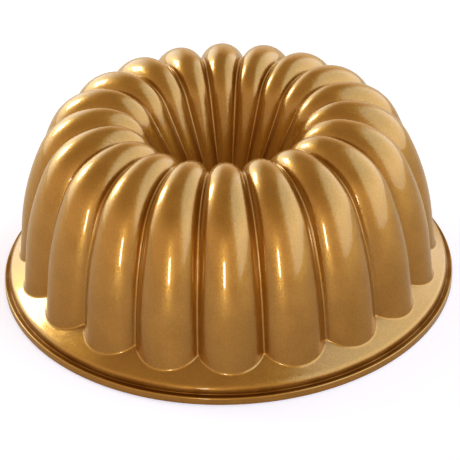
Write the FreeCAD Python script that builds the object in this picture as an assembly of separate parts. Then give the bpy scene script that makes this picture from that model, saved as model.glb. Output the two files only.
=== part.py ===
import FreeCAD, Part
import math
import os

# A cast ring cake pan with plain flutes, standing upside down on its rim.
# Origin: centre of the plane that the rim stands on. +Z is up, along the
# pan's axis. A flute is centred on each multiple of the flute pitch, so one
# of them lies on the +X axis and one on the -Y axis. Sizes are in
# millimetres and angles in degrees, unless a name says otherwise.

os.makedirs("parts", exist_ok=True)

# Overall
flute_count = 20
rim_radius = 131.0

# Layers, measured square to the outside surface
finish_thickness = 0.3
casting_thickness = 3.5
lining_thickness = 0.3

# Rim: a standing lip, a ledge, a step and a flange that slopes up
lip_height = 4.6
lip_inner_radius = 126.5
lip_chamfer = 0.4
lip_edge_round = 0.9
ledge_corner_round = 0.5
step_radius = 128.0
shoulder_round = 4.5
underside_round = 1.5
flange_slope = 28.8
flange_seam_radius = 125.3
underside_seam_radius = 123.6

# Groove line between two flutes, from the flange over the crown to the tube
foot_radius = 112.2
foot_height = 17.6
foot_straight = 14.0
wall_round = 160.0
crown_radius = 65.3
crown_height = 100.0
outer_crown_round = 34.1
inner_crown_round = 21.4
throat_lean = 28.6
throat_end_radius = 18.5
tube_bend_round = 30.0
tube_end_height = 3.0

# Flute height over half its width, at four places along the groove line, and
# the rounding along the groove
foot_flute_ratio = 0.49
crown_flute_ratio = 0.70
throat_flute_ratio = 0.19
tube_flute_ratio = 0.05
groove_round = 0.6

# One flute is three spline faces side by side: half a groove rounding, the
# round top, and half the next groove rounding. Each is given by its first
# and last share of the way across the flute and its spans across.
strips = [(0.0, 0.25, 3), (0.25, 0.75, 8), (0.75, 1.0, 3)]
spans_along = 44
degree = 3

origin = FreeCAD.Vector(0, 0, 0)
up = FreeCAD.Vector(0, 0, 1)
pitch = 360.0 / flute_count
half_pitch = math.radians(pitch / 2)
quarter_turn = math.pi / 2
flange_tilt = math.radians(flange_slope)
throat_tilt = math.radians(throat_lean)

finish_depth = finish_thickness
casting_depth = finish_depth + casting_thickness
lining_depth = casting_depth + lining_thickness

# Centres of the two crown roundings, as (radius, height)
outer_centre = (crown_radius, crown_height - outer_crown_round)
inner_centre = (crown_radius, crown_height - inner_crown_round)

# The outer wall starts straight from the foot, and then follows one large
# rounding that touches both the straight stretch and the outer crown
# rounding. wall_centre is the centre of that rounding. foot_turn and
# shoulder_turn are the angles of the outward normal above the horizontal
# where it starts and ends.
foot_reach = math.hypot(foot_radius - outer_centre[0], foot_height - outer_centre[1])
foot_turn_from_centre = math.atan2(foot_height - outer_centre[1], foot_radius - outer_centre[0])
centre_gap = wall_round - outer_crown_round
foot_gap = math.hypot(wall_round, foot_straight)
corner_cosine = (foot_reach ** 2 + centre_gap ** 2 - foot_gap ** 2) / (2 * foot_reach * centre_gap)
shoulder_turn = foot_turn_from_centre - math.acos(corner_cosine) + math.pi
wall_centre = (
    outer_centre[0] - centre_gap * math.cos(shoulder_turn),
    outer_centre[1] - centre_gap * math.sin(shoulder_turn),
)
foot_turn = (math.atan2(foot_height - wall_centre[1], foot_radius - wall_centre[0])
             + math.atan2(foot_straight, wall_round))

# The throat runs straight from the inner rounding, and bends into the tube
throat_turn = math.pi - throat_tilt
throat_radius = inner_centre[0] + inner_crown_round * math.cos(throat_turn)
throat_height = inner_centre[1] + inner_crown_round * math.sin(throat_turn)
throat_length = (throat_radius - throat_end_radius) / math.sin(throat_tilt)
throat_end_height = throat_height - throat_length * math.cos(throat_tilt)
tube_radius = throat_end_radius - tube_bend_round * (1 - math.cos(throat_tilt))
tube_height = throat_end_height - tube_bend_round * math.sin(throat_tilt)

# Distances along the groove line at which each stretch ends
wall_end = foot_straight + wall_round * (shoulder_turn - foot_turn)
outer_end = wall_end + outer_crown_round * (quarter_turn - shoulder_turn)
inner_end = outer_end + inner_crown_round * (throat_turn - quarter_turn)
throat_end = inner_end + throat_length
bend_end = throat_end + tube_bend_round * throat_tilt
line_end = bend_end + tube_height - tube_end_height


def on_arc(centre, size, turn):
    """Radius, height and outward normal angle at a turn of an arc."""
    return centre[0] + size * math.cos(turn), centre[1] + size * math.sin(turn), turn


def groove_station(distance):
    """Radius, height and outward normal angle of the groove line."""
    if distance < foot_straight:
        radius = foot_radius - distance * math.sin(foot_turn)
        height = foot_height + distance * math.cos(foot_turn)
        return radius, height, foot_turn
    if distance < wall_end:
        return on_arc(wall_centre, wall_round, foot_turn + (distance - foot_straight) / wall_round)
    if distance < outer_end:
        turn = shoulder_turn + (distance - wall_end) / outer_crown_round
        return on_arc(outer_centre, outer_crown_round, turn)
    if distance < inner_end:
        turn = quarter_turn + (distance - outer_end) / inner_crown_round
        return on_arc(inner_centre, inner_crown_round, turn)
    if distance < throat_end:
        run = distance - inner_end
        radius = throat_radius - run * math.sin(throat_tilt)
        height = throat_height - run * math.cos(throat_tilt)
        return radius, height, throat_turn
    if distance < bend_end:
        turn = throat_turn + (distance - throat_end) / tube_bend_round
        return on_arc((tube_radius + tube_bend_round, tube_height), tube_bend_round, turn)
    return tube_radius, tube_height - (distance - bend_end), math.pi


def flute_ratio(distance):
    """Flute height over half its width, from the foot to the tube end."""
    stretches = [
        (foot_straight, foot_flute_ratio),
        (outer_end, crown_flute_ratio),
        (throat_end, throat_flute_ratio),
        (line_end, tube_flute_ratio),
    ]
    if distance < foot_straight:
        return foot_flute_ratio
    for (start, first), (end, last) in zip(stretches, stretches[1:]):
        if distance < end:
            return first + (distance - start) / (end - start) * (last - first)
    return tube_flute_ratio


def section_offsets(half_width, ratio, share, depth):
    """Sideways and outward offsets of a point on one flute's section.

    The section is a round top between two grooves with a rounding of their
    own. A skin further down keeps the same distance to it everywhere. share
    is 0 and 1 in the grooves and 0.5 on the ridge, and the middle half of it
    is on the round top.
    """
    lean = 2 * math.atan(ratio)
    top_round = half_width / math.sin(lean) - groove_round
    place = abs(2 * share - 1)
    if place < 0.5:
        turn = 2 * place * lean
        sideways = (top_round - depth) * math.sin(turn)
        outward = (top_round - depth) * math.cos(turn) - top_round + ratio * half_width
    else:
        turn = 2 * (1 - place) * lean
        sideways = half_width - (groove_round + depth) * math.sin(turn)
        outward = groove_round - (groove_round + depth) * math.cos(turn)
    return math.copysign(sideways, share - 0.5), outward


def flute_section(distance, share, depth):
    """Radius, height and place across of a point on one flute. The place
    across is -1 and 1 in the flute's grooves."""
    radius, height, turn = groove_station(distance)
    half_width = radius * math.sin(half_pitch)
    sideways, outward = section_offsets(half_width, flute_ratio(distance), share, depth)
    return radius + outward * math.cos(turn), height + outward * math.sin(turn), sideways / half_width


def flange_height(radius, depth):
    """Height of the sloping flange, depth below its outer surface."""
    outside = foot_height - (radius - foot_radius) * math.tan(flange_tilt)
    return outside - depth / math.cos(flange_tilt)


def foot_distance(share, depth):
    """Distance at which a flute meets the flange. Both are straight there,
    so the gap between them is a linear function of distance."""
    gaps = []
    for distance in (0.0, 1.0):
        radius, height, across = flute_section(distance, share, depth)
        gaps.append(height - flange_height(radius, depth))
    return gaps[0] / (gaps[0] - gaps[1])


def flute_point(along, share, depth):
    """Point of a flute. along runs from 0 at its foot to 1 at the tube end."""
    start = foot_distance(share, depth)
    radius, height, across = flute_section(start + along * (line_end - start), share, depth)
    turn = across * half_pitch
    return FreeCAD.Vector(radius * math.cos(turn), radius * math.sin(turn), height)


def pole_places(spans):
    """Even places from 0 to 1 for the poles of an end-clamped spline."""
    knots = [0.0] * degree + [step / spans for step in range(spans + 1)] + [1.0] * degree
    return [sum(knots[start + 1:start + 1 + degree]) / degree for start in range(spans + degree)]


def spline_knots(spans):
    """Knots of an end-clamped spline and how often each one counts."""
    knots = [step / spans for step in range(spans + 1)]
    repeats = [degree + 1] + [1] * (spans - 1) + [degree + 1]
    return knots, repeats


def flute_strip(depth, first, last, spans_across):
    """Surface of one strip of a flute, from the flange to the tube end."""
    shares = [first + place * (last - first) for place in pole_places(spans_across)]
    poles = []
    for along in pole_places(spans_along):
        poles.append([flute_point(along, share, depth) for share in shares])
    long_knots, long_repeats = spline_knots(spans_along)
    cross_knots, cross_repeats = spline_knots(spans_across)
    surface = Part.BSplineSurface()
    surface.buildFromPolesMultsKnots(
        poles, long_repeats, cross_repeats, long_knots, cross_knots, False, False, degree, degree)
    return surface


def outline_edges(corners, rounds):
    """Straight edges through corners given as (radius, height), with each
    inner corner rounded to the radius given for it."""
    points = [FreeCAD.Vector(radius, 0, height) for radius, height in corners]
    edges = []
    start = points[0]
    for before, corner, after, size in zip(points, points[1:], points[2:], rounds):
        back = (before - corner).normalize()
        ahead = (after - corner).normalize()
        half_angle = back.getAngle(ahead) / 2
        first = corner + back * (size / math.tan(half_angle))
        last = corner + ahead * (size / math.tan(half_angle))
        inward = (back + ahead).normalize()
        middle = corner + inward * (size / math.sin(half_angle) - size)
        edges.append(Part.makeLine(start, first))
        edges.append(Part.Arc(first, middle, last).toShape())
        start = last
    edges.append(Part.makeLine(start, points[-1]))
    return edges


def outside_outline(depth, base):
    """Rim outline on the outside, from height base to the flange."""
    lip = rim_radius - depth
    ledge = lip_height - depth
    step = step_radius - depth
    corners = [
        (lip, base),
        (lip, ledge),
        (step, ledge),
        (step, flange_height(step, depth)),
        (flange_seam_radius, flange_height(flange_seam_radius, depth)),
    ]
    rounds = [lip_edge_round - depth, ledge_corner_round + depth, shoulder_round - depth]
    return outline_edges(corners, rounds)


def underside_outline(depth, base):
    """Rim outline on the underside, from height base to the flange."""
    wall = lip_inner_radius + casting_depth - depth
    corners = [
        (wall, base),
        (wall, flange_height(wall, depth)),
        (underside_seam_radius, flange_height(underside_seam_radius, depth)),
    ]
    return outline_edges(corners, [underside_round + depth - casting_depth])


def swept_sector(edge):
    """Face swept by an outline edge over one flute pitch."""
    turned = edge.copy()
    turned.rotate(origin, up, -pitch / 2)
    return turned.revolve(origin, up, pitch)


def seam_arc(radius, depth, first_turn, last_turn):
    """Arc on the flange between two turns around the pan's axis, in radians."""
    height = flange_height(radius, depth)
    places = []
    for turn in (first_turn, (first_turn + last_turn) / 2, last_turn):
        places.append(FreeCAD.Vector(radius * math.cos(turn), radius * math.sin(turn), height))
    return Part.Arc(places[0], places[1], places[2]).toShape()


def skin_sector(depth, outline, seam_radius):
    """Faces of one skin over one flute pitch, and the edges at its tube end."""
    faces = [swept_sector(edge) for edge in outline]
    tube_edges = []
    for first, last, spans_across in strips:
        surface = flute_strip(depth, first, last, spans_across)
        foot_edge = surface.uIso(0.0).toShape()
        turns = []
        for share in (first, last):
            foot = flute_point(0.0, share, depth)
            turns.append(math.atan2(foot.y, foot.x))
        faces.append(Part.makeRuledSurface(seam_arc(seam_radius, depth, *turns), foot_edge))
        faces.append(surface.toShape())
        tube_edges.append(surface.uIso(1.0).toShape())
    return faces, tube_edges


def layer_solid(outer, inner, base_corners):
    """Closed solid between two skins. Each skin is its depth, outline and
    seam radius. base_corners joins their lower ends."""
    outer_faces, outer_tube = skin_sector(*outer)
    inner_faces, inner_tube = skin_sector(*inner)
    faces = outer_faces + inner_faces
    for outer_edge, inner_edge in zip(outer_tube, inner_tube):
        faces.append(Part.makeRuledSurface(outer_edge, inner_edge))
    points = [FreeCAD.Vector(radius, 0, height) for radius, height in base_corners]
    for first, last in zip(points, points[1:]):
        faces.append(swept_sector(Part.makeLine(first, last)))
    ring = []
    for index in range(flute_count):
        for face in faces:
            turned = face.copy()
            turned.rotate(origin, up, index * pitch)
            ring.append(turned)
    shell = Part.makeShell(ring)
    shell.sewShape()
    solid = Part.makeSolid(shell)
    if solid.Volume < 0:
        solid.reverse()
    return solid


def exterior_finish():
    """Gold-toned finish on the outside of the casting."""
    outer = (0.0, outside_outline(0.0, lip_chamfer), flange_seam_radius)
    inner = (finish_depth, outside_outline(finish_depth, lip_chamfer), flange_seam_radius)
    lip = rim_radius - finish_depth
    return layer_solid(outer, inner, [(rim_radius, lip_chamfer), (lip, lip_chamfer)])


def aluminium_casting():
    """The cast pan itself, bare only on the ring that it stands on."""
    outer = (finish_depth, outside_outline(finish_depth, lip_chamfer), flange_seam_radius)
    inner = (casting_depth, underside_outline(casting_depth, lip_chamfer), underside_seam_radius)
    lip = rim_radius - finish_depth
    corners = [
        (lip, lip_chamfer),
        (lip - lip_chamfer, 0.0),
        (lip_inner_radius + lip_chamfer, 0.0),
        (lip_inner_radius, lip_chamfer),
    ]
    return layer_solid(outer, inner, corners)


def nonstick_lining():
    """Release coating on the side that holds the batter."""
    outer = (casting_depth, underside_outline(casting_depth, lip_chamfer), underside_seam_radius)
    inner = (lining_depth, underside_outline(lining_depth, lip_chamfer), underside_seam_radius)
    wall = lip_inner_radius - lining_thickness
    return layer_solid(outer, inner, [(lip_inner_radius, lip_chamfer), (wall, lip_chamfer)])


pieces = {
    "aluminium_casting": aluminium_casting,
    "exterior_gold_finish": exterior_finish,
    "nonstick_lining": nonstick_lining,
}

for name, make in pieces.items():
    solid = make()
    solid.exportStep(os.path.join("parts", name + ".step"))
    print(name, "valid", solid.isValid(), "closed", solid.Shells[0].isClosed(),
          "volume", round(solid.Volume), "faces", len(solid.Faces), "box", solid.BoundBox)
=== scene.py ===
import math

import bpy
import numpy as np
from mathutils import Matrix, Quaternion, Vector


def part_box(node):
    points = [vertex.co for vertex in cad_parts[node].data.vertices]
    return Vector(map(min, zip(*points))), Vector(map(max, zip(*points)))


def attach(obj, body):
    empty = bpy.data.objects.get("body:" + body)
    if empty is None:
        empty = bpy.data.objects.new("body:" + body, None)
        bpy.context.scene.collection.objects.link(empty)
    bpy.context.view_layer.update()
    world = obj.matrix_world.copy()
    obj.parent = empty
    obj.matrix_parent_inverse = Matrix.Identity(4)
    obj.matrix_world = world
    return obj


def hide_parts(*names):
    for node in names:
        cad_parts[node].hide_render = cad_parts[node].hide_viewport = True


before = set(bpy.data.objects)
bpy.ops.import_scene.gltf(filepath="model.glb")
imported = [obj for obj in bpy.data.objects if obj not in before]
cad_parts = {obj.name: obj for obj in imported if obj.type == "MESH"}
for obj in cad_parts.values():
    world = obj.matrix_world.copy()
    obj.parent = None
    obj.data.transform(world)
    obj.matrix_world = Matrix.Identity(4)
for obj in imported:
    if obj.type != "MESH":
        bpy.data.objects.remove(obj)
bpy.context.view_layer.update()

# A cast ring cake pan, upside down on its rim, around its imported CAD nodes.
# Lengths are in metres, and MM turns the pan's own sizes, in millimetres,
# into metres. A flute is centred on each multiple of the flute pitch.

MM = 0.001
finish_low, finish_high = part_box("exterior_gold_finish")
lining_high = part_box("nonstick_lining")[1]

# ---------------------------------------------------------------------------
# Sizes of the pan
# ---------------------------------------------------------------------------

FLUTES = 20
HALF_PITCH = math.pi / FLUTES
RIM_RADIUS = finish_high.x
BASE_HEIGHT = finish_low.z
FINISH_DEPTH = 0.3 * MM
LINING_OUTER_DEPTH = 3.8 * MM
LINING_DEPTH = 4.1 * MM

LIP_HEIGHT = 4.6 * MM
LIP_INNER_RADIUS = lining_high.x
STEP_RADIUS = 128.0 * MM
LIP_EDGE_ROUND = 0.9 * MM
LEDGE_CORNER_ROUND = 0.5 * MM
SHOULDER_ROUND = 4.5 * MM
UNDERSIDE_ROUND = 1.5 * MM
FLANGE_TILT = math.radians(28.8)

FOOT_RADIUS = 112.2 * MM
FOOT_HEIGHT = 17.6 * MM
FOOT_STRAIGHT = 14.0 * MM
WALL_ROUND = 160.0 * MM
CROWN_RADIUS = 65.3 * MM
CROWN_HEIGHT = 100.0 * MM
OUTER_ROUND = 34.1 * MM
INNER_ROUND = 21.4 * MM
THROAT_TILT = math.radians(28.6)
THROAT_END_RADIUS = 18.5 * MM
BEND_ROUND = 30.0 * MM
TUBE_END_HEIGHT = 3.0 * MM

# Flute height over half its width. The second makes the crown as tall as the
# CAD piece, and the last two fade the flutes out down the tube.
CROWN_SLACK = 0.1 * MM
FOOT_RATIO = 0.49
crown_rise = finish_high.z - CROWN_SLACK - CROWN_HEIGHT
CROWN_RATIO = crown_rise / (CROWN_RADIUS * math.sin(HALF_PITCH))
THROAT_RATIO = 0.19
TUBE_RATIO = 0.05

GROOVE_ROUND = 0.9 * MM
FOOT_ROUND = 2.2 * MM
SHARP_ANGLE = math.radians(40)

# The outer wall starts straight from the foot, and then follows one large
# rounding that touches the straight stretch and the crown's outer rounding.
# The turns are angles of the outward normal above the horizontal.
outer_centre = CROWN_HEIGHT - OUTER_ROUND
inner_centre = CROWN_HEIGHT - INNER_ROUND
foot_run = FOOT_RADIUS - CROWN_RADIUS
foot_rise = FOOT_HEIGHT - outer_centre
foot_reach = math.hypot(foot_run, foot_rise)
centre_gap = WALL_ROUND - OUTER_ROUND
foot_gap = math.hypot(WALL_ROUND, FOOT_STRAIGHT)
corner_cosine = (foot_reach ** 2 + centre_gap ** 2 - foot_gap ** 2) / (2 * foot_reach * centre_gap)
shoulder_turn = math.atan2(foot_rise, foot_run) - math.acos(corner_cosine) + math.pi
wall_centre_radius = CROWN_RADIUS - centre_gap * math.cos(shoulder_turn)
wall_centre_height = outer_centre - centre_gap * math.sin(shoulder_turn)
foot_turn = (math.atan2(FOOT_HEIGHT - wall_centre_height, FOOT_RADIUS - wall_centre_radius)
             + math.atan2(FOOT_STRAIGHT, WALL_ROUND))
throat_turn = math.pi - THROAT_TILT
throat_radius = CROWN_RADIUS + INNER_ROUND * math.cos(throat_turn)
throat_height = inner_centre + INNER_ROUND * math.sin(throat_turn)
throat_length = (throat_radius - THROAT_END_RADIUS) / math.sin(THROAT_TILT)
tube_radius = THROAT_END_RADIUS - BEND_ROUND * (1 - math.cos(THROAT_TILT))
tube_height = throat_height - throat_length * math.cos(THROAT_TILT) - BEND_ROUND * math.sin(THROAT_TILT)

# Distances along the groove line at which its stretches end
wall_end = FOOT_STRAIGHT + WALL_ROUND * (shoulder_turn - foot_turn)
outer_end = wall_end + OUTER_ROUND * (math.pi / 2 - shoulder_turn)
inner_end = outer_end + INNER_ROUND * (throat_turn - math.pi / 2)
throat_end = inner_end + throat_length
bend_end = throat_end + BEND_ROUND * THROAT_TILT
line_end = bend_end + tube_height - TUBE_END_HEIGHT


def groove_station(distance):
    """Radius, height and outward normal angle of the groove line, at these distances along it."""
    s = distance
    wall_turn = foot_turn + (s - FOOT_STRAIGHT) / WALL_ROUND
    outer_turn = shoulder_turn + (s - wall_end) / OUTER_ROUND
    inner_turn = math.pi / 2 + (s - outer_end) / INNER_ROUND
    bend_turn = throat_turn + (s - throat_end) / BEND_ROUND
    ends = [FOOT_STRAIGHT, wall_end, outer_end, inner_end, throat_end, bend_end]
    stretches = [s < end for end in ends]
    radius = np.select(stretches, [
        FOOT_RADIUS - s * math.sin(foot_turn),
        wall_centre_radius + WALL_ROUND * np.cos(wall_turn),
        CROWN_RADIUS + OUTER_ROUND * np.cos(outer_turn),
        CROWN_RADIUS + INNER_ROUND * np.cos(inner_turn),
        throat_radius - (s - inner_end) * math.sin(THROAT_TILT),
        tube_radius + BEND_ROUND * (1 + np.cos(bend_turn)),
    ], tube_radius)
    height = np.select(stretches, [
        FOOT_HEIGHT + s * math.cos(foot_turn),
        wall_centre_height + WALL_ROUND * np.sin(wall_turn),
        outer_centre + OUTER_ROUND * np.sin(outer_turn),
        inner_centre + INNER_ROUND * np.sin(inner_turn),
        throat_height - (s - inner_end) * math.cos(THROAT_TILT),
        tube_height + BEND_ROUND * np.sin(bend_turn),
    ], tube_height - (s - bend_end))
    turns = [foot_turn, wall_turn, outer_turn, inner_turn, throat_turn, bend_turn]
    turn = np.select(stretches, turns, math.pi)
    return radius, height, turn


def flute_ratio(distance):
    """Flute height over half its width, from the foot to the tube's end."""
    places = [FOOT_STRAIGHT, outer_end, throat_end, line_end]
    return np.interp(distance, places, [FOOT_RATIO, CROWN_RATIO, THROAT_RATIO, TUBE_RATIO])


def section_point(distance, place, depth):
    """Radius, height and place across of a flute's point at these distances, depth below its outer face.

    place is 0 on the ridge and -1 and 1 in the grooves. Up to half of it is
    on the flute's round top, and the rest is on the groove's own rounding.
    The place across that this returns is a share of the flute's half width.
    """
    radius, height, turn = groove_station(distance)
    half_width = radius * math.sin(HALF_PITCH)
    ratio = flute_ratio(distance)
    lean = 2 * np.arctan(ratio)
    top_round = half_width / np.sin(lean) - GROOVE_ROUND
    if abs(place) < 0.5:
        swing = 2 * abs(place) * lean
        sideways = (top_round - depth) * np.sin(swing)
        outward = (top_round - depth) * np.cos(swing) - top_round + ratio * half_width
    else:
        swing = 2 * (1 - abs(place)) * lean
        sideways = half_width - (GROOVE_ROUND + depth) * np.sin(swing)
        outward = GROOVE_ROUND - (GROOVE_ROUND + depth) * np.cos(swing)
    across = math.copysign(1, place) * sideways / half_width
    return radius + outward * np.cos(turn), height + outward * np.sin(turn), across


def flange_height(radius, depth):
    return FOOT_HEIGHT - (radius - FOOT_RADIUS) * math.tan(FLANGE_TILT) - depth / math.cos(FLANGE_TILT)


def foot_distance(place, depth):
    """Distance at which the straight part of a flute meets the flange."""
    radius, height = section_point(np.array([0.0, MM]), place, depth)[:2]
    gaps = height - flange_height(radius, depth)
    return MM * gaps[0] / (gaps[0] - gaps[1])


# ---------------------------------------------------------------------------
# Meshes
# ---------------------------------------------------------------------------

# Rows of points along one outline. A visible side gets more of them than a
# side that lies against the casting.
ROUND_ROWS = 7
FLANGE_SHARES = (0.02, 0.2, 0.4, 0.6, 0.8, 0.98)
VISIBLE_WALL_ROWS = 104
HIDDEN_WALL_ROWS = 26

# Places across a flute from its ridge, 0, to its groove, 1
HALF_PLACES = (0.0, 0.06, 0.12, 0.18, 0.24, 0.30, 0.36, 0.42, 0.47, 0.55, 0.70, 0.85)
PLACES = (-1.0,) + tuple(-place for place in reversed(HALF_PLACES[1:])) + HALF_PLACES


def rounded_corner(before, corner, after, size):
    """Points of an arc that rounds the corner between two straight lines, in radius and height."""
    before, corner, after = (np.array(point, float) for point in (before, corner, after))
    back = (before - corner) / np.linalg.norm(before - corner)
    ahead = (after - corner) / np.linalg.norm(after - corner)
    half_angle = math.acos(back @ ahead) / 2
    middle = (back + ahead) / np.linalg.norm(back + ahead)
    centre = corner + middle * size / math.sin(half_angle)
    first = corner + back * size / math.tan(half_angle) - centre
    last = corner + ahead * size / math.tan(half_angle) - centre
    sweep = math.pi - 2 * half_angle
    shares = np.linspace(0, 1, ROUND_ROWS)[:, None]
    arc = first * np.sin((1 - shares) * sweep) + last * np.sin(shares * sweep)
    return centre + arc / math.sin(sweep)


def outside_rim(depth):
    """Outline of the rim from its base up to the flange, this far below the outer face."""
    lip = RIM_RADIUS - depth
    step = STEP_RADIUS - depth
    ledge = LIP_HEIGHT - depth
    shoulder = (step, flange_height(step, depth))
    base = (lip, BASE_HEIGHT)
    lip_edge = rounded_corner(base, (lip, ledge), (step, ledge), LIP_EDGE_ROUND - depth)
    ledge_corner = rounded_corner((lip, ledge), (step, ledge), shoulder, LEDGE_CORNER_ROUND + depth)
    flange_end = (FOOT_RADIUS, flange_height(FOOT_RADIUS, depth))
    shoulder_edge = rounded_corner((step, ledge), shoulder, flange_end, SHOULDER_ROUND - depth)
    return np.vstack([[base], lip_edge, ledge_corner, shoulder_edge])


def underside_rim(depth):
    """Outline of the rim inside the pan, from the base of its lip up to the flange's underside."""
    wall = LIP_INNER_RADIUS + LINING_OUTER_DEPTH - depth
    base = (wall, BASE_HEIGHT)
    corner = (wall, flange_height(wall, depth))
    flange_end = (FOOT_RADIUS, flange_height(FOOT_RADIUS, depth))
    size = UNDERSIDE_ROUND + depth - LINING_OUTER_DEPTH
    return np.vstack([[base], rounded_corner(base, corner, flange_end, size)])


def skin_outline(place, depth, rim, wall_rows):
    """Points of one skin at one place, from the rim's base to the tube's end.

    Each one has a radius, a height and a place across, as a share of half a flute.
    """
    start = foot_distance(place, depth)
    ends = np.stack(section_point(np.array([start, start + MM]), place, depth), 1)
    foot = rounded_corner(rim[-1], ends[0, :2], ends[1, :2], FOOT_ROUND)
    flange = [rim[-1] + (foot[0] - rim[-1]) * share for share in FLANGE_SHARES]
    below = np.vstack([rim, flange, foot])
    below = np.column_stack([below, np.full(len(below), ends[0, 2])])
    wall_start = start + np.linalg.norm(foot[-1] - ends[0, :2])
    stations = np.linspace(wall_start, line_end, wall_rows)[1:]
    return np.vstack([below, np.stack(section_point(stations, place, depth), 1)])


def ring_skin(name, outline_at):
    """Closed skin with the outline at each place across each flute, all round the pan."""
    outlines = [outline_at(place) for place in PLACES]
    points = []
    for flute in range(FLUTES):
        for outline in outlines:
            radius, height, across = outline.T
            turn = (2 * flute + across) * HALF_PITCH
            points.append(np.stack([radius * np.cos(turn), radius * np.sin(turn), height], 1))
    points = np.array(points)
    columns, rows = points.shape[:2]
    here = np.arange(columns * rows).reshape(columns, rows)
    beside = np.roll(here, -1, 0)
    corners = [here, beside, np.roll(beside, -1, 1), np.roll(here, -1, 1)]
    faces = np.stack(corners, -1).reshape(-1, 4)
    mesh = bpy.data.meshes.new(name)
    mesh.from_pydata(points.reshape(-1, 3).tolist(), [], faces.tolist())
    mesh.shade_smooth()
    mesh.set_sharp_from_angle(angle=SHARP_ANGLE)
    piece = bpy.data.objects.new(name, mesh)
    bpy.context.scene.collection.objects.link(piece)
    return piece


def finish_outline(place):
    outside = skin_outline(place, 0.0, outside_rim(0.0), VISIBLE_WALL_ROWS)
    back = skin_outline(place, FINISH_DEPTH, outside_rim(FINISH_DEPTH), HIDDEN_WALL_ROWS)
    return np.vstack([outside, back[::-1]])


def lining_outline(place):
    inside = skin_outline(place, LINING_DEPTH, underside_rim(LINING_DEPTH), VISIBLE_WALL_ROWS)
    back = skin_outline(place, LINING_OUTER_DEPTH, underside_rim(LINING_OUTER_DEPTH), HIDDEN_WALL_ROWS)
    return np.vstack([back, inside[::-1]])


# ---------------------------------------------------------------------------
# Materials
# ---------------------------------------------------------------------------

# The middle of a noise texture's range, which spread() stretches
NOISE_LOW = 0.3
NOISE_HIGH = 0.7

FLAKE_SIZE = 0.4 * MM
GRAIN_SIZE = 1.1 * MM
MOTTLE_SIZE = 14.0 * MM

# Shares of the brighter colour that flakes, grain and mottling bring in
FLAKE_SHARE = 0.5
GRAIN_SHARE = 0.25
MOTTLE_SHARE = 0.25

ROUGHNESS_SWING = 0.03
COAT_ROUGHNESS = 0.08
COAT_IOR = 1.8
CAST_BUMP_STRENGTH = 0.3
CAST_BUMP_DEPTH = 0.05 * MM

# Painted shade in the rim's step: the film's colour is darkened there to stand in for
# the shade in the step, and the film is made duller. It starts just under the ledge, is full from there up,
# and fades out over the shoulder.
STEP_SHADE_BOTTOM_HEIGHT = LIP_HEIGHT - 0.25 * MM
STEP_SHADE_LEDGE_HEIGHT = LIP_HEIGHT - 0.05 * MM
STEP_SHADE_FULL_HEIGHT = 7.2 * MM
STEP_SHADE_TOP_HEIGHT = 9.4 * MM
STEP_SHADE_WEAKEST = 0.7
STEP_SHADE_STRONGEST = 0.95
# Colour of the painted shade in the rim's step
PAINTED_STEP_SHADE_COLOUR = (0.27, 0.135, 0.033, 1)
STEP_SHADE_ROUGHER = 0.12


def new_material(name):
    material = bpy.data.materials.new(name)
    material.use_nodes = True
    tree = material.node_tree
    return material, tree, tree.nodes["Principled BSDF"]


def feed(tree, socket, value):
    """Joins a socket to an output, or gives it a value."""
    if isinstance(value, bpy.types.NodeSocket):
        tree.links.new(value, socket)
    else:
        socket.default_value = value


def add_node(tree, kind, settings=None, **inputs):
    """Node of this kind, with its settings, and with outputs or values for its named inputs."""
    node = tree.nodes.new(kind)
    for key, value in (settings or {}).items():
        setattr(node, key, value)
    for key, value in inputs.items():
        feed(tree, node.inputs[key.replace("_", " ")], value)
    return node


def calculate(tree, operation, *values):
    """Output of a Math node on these outputs or numbers."""
    node = add_node(tree, "ShaderNodeMath", {"operation": operation})
    for socket, value in zip(node.inputs, values):
        feed(tree, socket, value)
    return node.outputs["Value"]


def vector_node(tree, operation, *vectors, **inputs):
    """Vector Math node on these outputs or vectors."""
    node = add_node(tree, "ShaderNodeVectorMath", {"operation": operation}, **inputs)
    for socket, vector in zip(node.inputs, vectors):
        feed(tree, socket, vector)
    return node


def noise(tree, places, size, detail=3.0):
    texture = add_node(tree, "ShaderNodeTexNoise", Vector=places, Scale=1 / size, Detail=detail)
    return texture.outputs["Fac"]


def spread(tree, value, low, high):
    """The middle of a noise value's range stretched to run from low to high."""
    ends = {"From_Min": NOISE_LOW, "From_Max": NOISE_HIGH, "To_Min": low, "To_Max": high}
    return add_node(tree, "ShaderNodeMapRange", Value=value, **ends).outputs["Result"]


def blend(tree, share, first, second):
    """First colour turned into the second one by a share."""
    node = tree.nodes.new("ShaderNodeMix")
    node.data_type = "RGBA"
    tree.links.new(share, node.inputs["Factor"])
    for name, value in (("A", first), ("B", second)):
        socket = [i for i in node.inputs if i.name == name and i.type == "RGBA"][0]
        feed(tree, socket, value)
    return [o for o in node.outputs if o.type == "RGBA"][0]


def flake_normal(tree, places, size, tilt):
    """Colour of each flake of this size, and the surface normal tilted its own way in each."""
    flakes = add_node(tree, "ShaderNodeTexVoronoi", Vector=places, Scale=1 / size).outputs["Color"]
    centred = vector_node(tree, "SUBTRACT", flakes, (0.5, 0.5, 0.5)).outputs["Vector"]
    scaled = vector_node(tree, "SCALE", centred, Scale=tilt).outputs["Vector"]
    surface = tree.nodes.new("ShaderNodeNewGeometry").outputs["Normal"]
    tilted = vector_node(tree, "ADD", surface, scaled).outputs["Vector"]
    return flakes, vector_node(tree, "NORMALIZE", tilted).outputs["Vector"]


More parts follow.
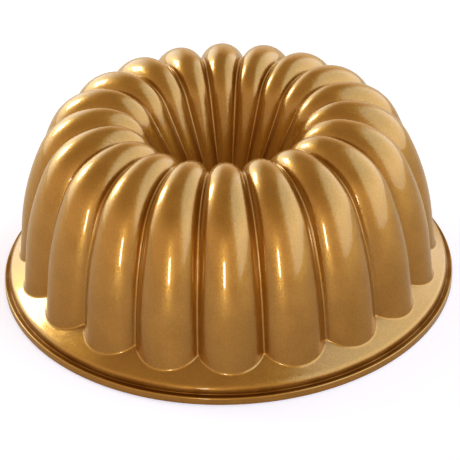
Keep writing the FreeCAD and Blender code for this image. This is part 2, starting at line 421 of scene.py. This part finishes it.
def painted_step_shade_share(tree, places, mottle):
    """How strong the painted shade in the rim's step is: most in the step, none above or below it."""
    height = add_node(tree, "ShaderNodeSeparateXYZ", Vector=places).outputs["Z"]
    smooth = {"interpolation_type": "SMOOTHSTEP"}
    fading = {"From_Min": STEP_SHADE_FULL_HEIGHT, "From_Max": STEP_SHADE_TOP_HEIGHT, "To_Min": 1.0, "To_Max": 0.0}
    under_flange = add_node(tree, "ShaderNodeMapRange", smooth, Value=height, **fading).outputs["Result"]
    rising = {"From_Min": STEP_SHADE_BOTTOM_HEIGHT, "From_Max": STEP_SHADE_LEDGE_HEIGHT}
    over_lip = add_node(tree, "ShaderNodeMapRange", smooth, Value=height, **rising).outputs["Result"]
    share = calculate(tree, "MULTIPLY", under_flange, over_lip)
    return calculate(tree, "MULTIPLY", share, spread(tree, mottle, STEP_SHADE_WEAKEST, STEP_SHADE_STRONGEST))


def add_painted_step_shade(tree, shader, places, mottle, film, roughness, coat):
    """Darkens the film's colour with painted shade in the rim's step, dulls the film there and hides its
    top coat.
    """
    share = painted_step_shade_share(tree, places, mottle)
    tree.links.new(blend(tree, share, film, PAINTED_STEP_SHADE_COLOUR), shader.inputs["Base Color"])
    rougher = calculate(tree, "MULTIPLY_ADD", share, STEP_SHADE_ROUGHER, roughness)
    tree.links.new(rougher, shader.inputs["Roughness"])
    shown = add_node(tree, "ShaderNodeMapRange", Value=share, To_Min=coat, To_Max=0.0)
    tree.links.new(shown.outputs["Result"], shader.inputs["Coat Weight"])


def coating(name, deep, bright, roughness, coat, flake_tilt, painted_step_shade=False):
    """Baked metallic coating: flakes in a tinted film, mottled, under a clear top coat."""
    material, tree, shader = new_material(name)
    places = tree.nodes.new("ShaderNodeTexCoord").outputs["Object"]
    flakes, normal = flake_normal(tree, places, FLAKE_SIZE, flake_tilt)
    flake = add_node(tree, "ShaderNodeSeparateColor", Color=flakes).outputs["Red"]
    mottle = spread(tree, noise(tree, places, MOTTLE_SIZE), 0.0, 1.0)
    grain = spread(tree, noise(tree, places, GRAIN_SIZE, detail=1.0), 0.0, 1.0)
    share = calculate(tree, "MULTIPLY_ADD", flake, FLAKE_SHARE, spread(tree, mottle, 0.0, MOTTLE_SHARE))
    share = calculate(tree, "MULTIPLY_ADD", grain, GRAIN_SHARE, share)
    film = blend(tree, share, deep, bright)
    film_roughness = spread(tree, mottle, roughness - ROUGHNESS_SWING, roughness + ROUGHNESS_SWING)
    tree.links.new(normal, shader.inputs["Normal"])
    shader.inputs["Metallic"].default_value = 1.0
    # Painted shade in the rim's step: a darker, duller film there
    if painted_step_shade:
        add_painted_step_shade(tree, shader, places, mottle, film, film_roughness, coat)
    else:
        tree.links.new(film, shader.inputs["Base Color"])
        tree.links.new(film_roughness, shader.inputs["Roughness"])
        shader.inputs["Coat Weight"].default_value = coat
    shader.inputs["Coat Roughness"].default_value = COAT_ROUGHNESS
    shader.inputs["Coat IOR"].default_value = COAT_IOR
    return material


def bare_metal(name):
    """Cast aluminium, ground bare on the ring that the pan stands on."""
    material, tree, shader = new_material(name)
    places = tree.nodes.new("ShaderNodeTexCoord").outputs["Object"]
    grain = noise(tree, places, GRAIN_SIZE)
    tint = blend(tree, spread(tree, grain, 0.0, 1.0), (0.60, 0.55, 0.48, 1), (0.80, 0.76, 0.70, 1))
    tree.links.new(tint, shader.inputs["Base Color"])
    tree.links.new(spread(tree, grain, 0.32, 0.48), shader.inputs["Roughness"])
    depths = {"Strength": CAST_BUMP_STRENGTH, "Distance": CAST_BUMP_DEPTH}
    bump = add_node(tree, "ShaderNodeBump", Height=grain, **depths)
    tree.links.new(bump.outputs["Normal"], shader.inputs["Normal"])
    shader.inputs["Metallic"].default_value = 1.0
    return material


# The gold finish carries painted shade in the rim's step, where its colour is darkened
gold_finish = coating(
    "gold_finish", deep=(0.41, 0.228, 0.046, 1), bright=(0.52, 0.300, 0.072, 1),
    roughness=0.33, coat=1.0, flake_tilt=0.12, painted_step_shade=True)
dark_lining = coating(
    "nonstick_lining", deep=(0.26, 0.14, 0.045, 1), bright=(0.42, 0.24, 0.08, 1),
    roughness=0.48, coat=0.2, flake_tilt=0.12)

finish = ring_skin("gold_finish_skin", finish_outline)
finish.data.materials.append(gold_finish)
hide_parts("exterior_gold_finish")
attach(finish, "root")

lining = ring_skin("nonstick_lining_skin", lining_outline)
lining.data.materials.append(dark_lining)
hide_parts("nonstick_lining")
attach(lining, "root")

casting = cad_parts["aluminium_casting"]
casting.data.materials.clear()
casting.data.materials.append(bare_metal("cast_aluminium"))

# ---------------------------------------------------------------------------
# Studio
# ---------------------------------------------------------------------------

FLOOR_REACH = 6.0
FLOOR_COLOUR = (0.80, 0.74, 0.66, 1)

# Light that the floor adds for the camera only, so that it looks white there
FLOOR_GLOW_COLOUR = (0.58, 0.71, 1, 1)
FLOOR_GLOW = 0.40

# The sky changes from one colour to the other between these heights, where 1
# is straight up.
SKY_LOW_COLOUR = (0.55, 0.45, 0.32, 1)
SKY_HIGH_COLOUR = (0.33, 0.26, 0.16, 1)
SKY_LOW_END = 0.2
SKY_HIGH_START = 0.85
SKY_STRENGTH = 1.35

LIGHT_AIM = Vector((0.0, 0.0, 0.07))
KEY_DISTANCE = 1.3


def direction(azimuth, elevation):
    """Unit vector with azimuth 0 towards the camera and 90 to its right, in degrees."""
    turn, rise = math.radians(azimuth), math.radians(elevation)
    return Vector((math.sin(turn) * math.cos(rise), -math.cos(turn) * math.cos(rise), math.sin(rise)))


def plain_floor():
    mesh = bpy.data.meshes.new("floor")
    corners = [(-1, -1), (1, -1), (1, 1), (-1, 1)]
    mesh.from_pydata([(x * FLOOR_REACH, y * FLOOR_REACH, 0) for x, y in corners], [], [(0, 1, 2, 3)])
    floor = bpy.data.objects.new("floor", mesh)
    bpy.context.scene.collection.objects.link(floor)
    material, tree, shader = new_material("floor")
    shader.inputs["Base Color"].default_value = FLOOR_COLOUR
    shader.inputs["Emission Color"].default_value = FLOOR_GLOW_COLOUR
    seen = tree.nodes.new("ShaderNodeLightPath").outputs["Is Camera Ray"]
    tree.links.new(calculate(tree, "MULTIPLY", seen, FLOOR_GLOW), shader.inputs["Emission Strength"])
    shader.inputs["Roughness"].default_value = 0.9
    shader.inputs["Specular IOR Level"].default_value = 0.1
    mesh.materials.append(material)


def softbox(name, place, width, height, radiance, colour):
    """Rectangular light that faces the pan and that the camera doesn't see."""
    data = bpy.data.lights.new(name, "AREA")
    data.shape = "RECTANGLE"
    data.size, data.size_y = width, height
    data.energy = radiance * math.pi * width * height
    data.color = colour
    light = bpy.data.objects.new(name, data)
    light.location = place
    light.rotation_euler = (LIGHT_AIM - place).to_track_quat("-Z", "Y").to_euler()
    light.visible_camera = False
    bpy.context.scene.collection.objects.link(light)


def add_patches(tree, way, colour, patches):
    """Adds round soft patches of light to a sky.

    Each one has a middle, an inner and an outer radius in degrees, and a colour.
    """
    for middle, inner, outer, patch_colour in patches:
        near = vector_node(tree, "DOT_PRODUCT", way, middle).outputs["Value"]
        edges = {"From_Min": math.cos(math.radians(outer)), "From_Max": math.cos(math.radians(inner))}
        smooth = {"interpolation_type": "SMOOTHSTEP"}
        share = add_node(tree, "ShaderNodeMapRange", smooth, Value=near, **edges).outputs["Result"]
        patch = vector_node(tree, "SCALE", patch_colour, Scale=share).outputs["Vector"]
        colour = vector_node(tree, "ADD", colour, patch).outputs["Vector"]
    return colour


def studio_sky():
    """Warm dome, darker overhead, with a cool patch to the right and another behind on the left."""
    world = bpy.data.worlds.new("studio")
    bpy.context.scene.world = world
    world.use_nodes = True
    sky = world.node_tree
    way = sky.nodes.new("ShaderNodeTexCoord").outputs["Generated"]
    rise = add_node(sky, "ShaderNodeSeparateXYZ", Vector=way).outputs["Z"]
    smooth = {"interpolation_type": "SMOOTHSTEP"}
    ends = {"From_Min": SKY_LOW_END, "From_Max": SKY_HIGH_START}
    climb = add_node(sky, "ShaderNodeMapRange", smooth, Value=rise, **ends).outputs["Result"]
    dome = blend(sky, climb, SKY_LOW_COLOUR, SKY_HIGH_COLOUR)
    colour = add_patches(sky, way, dome, [
        (direction(90, 15), 50, 64, (0.30, 0.44, 0.62)),
        (direction(-132, 8), 16, 46, (0.34, 0.50, 0.64)),
    ])
    sky.links.new(colour, sky.nodes["Background"].inputs["Color"])
    sky.nodes["Background"].inputs["Strength"].default_value = SKY_STRENGTH


plain_floor()
softbox("key_softbox", LIGHT_AIM + direction(-122, 26) * KEY_DISTANCE,
        width=0.42, height=0.38, radiance=4.2, colour=(0.92, 0.97, 1.0))
softbox("low_window", Vector((-0.17, -0.80, 0.125)),
        width=0.07, height=0.15, radiance=9.0, colour=(0.86, 0.95, 1.0))
studio_sky()
bpy.context.scene.view_settings.view_transform = "Standard"
bpy.context.scene.view_settings.look = "High Contrast"

# ---------------------------------------------------------------------------
# Camera
# ---------------------------------------------------------------------------

CAMERA_DISTANCE = 0.997
CAMERA_ELEVATION = math.radians(34.18)
CAMERA_TARGET = Vector((0.0016, 0.0, 0.0247))
CAMERA_ROLL = math.radians(-1.68)
CAMERA_LENS = 132.2
CAMERA_SENSOR = 36.0

camera_data = bpy.data.cameras.new("camera")
camera_data.sensor_width = CAMERA_SENSOR
camera_data.lens = CAMERA_LENS
camera = bpy.data.objects.new("camera", camera_data)
camera.location = Vector((0.0, -math.cos(CAMERA_ELEVATION), math.sin(CAMERA_ELEVATION))) * CAMERA_DISTANCE
aim = (CAMERA_TARGET - camera.location).to_track_quat("-Z", "Y")
camera.rotation_mode = "QUATERNION"
camera.rotation_quaternion = aim @ Quaternion((0, 0, 1), CAMERA_ROLL)
bpy.context.scene.collection.objects.link(camera)
bpy.context.scene.camera = camera
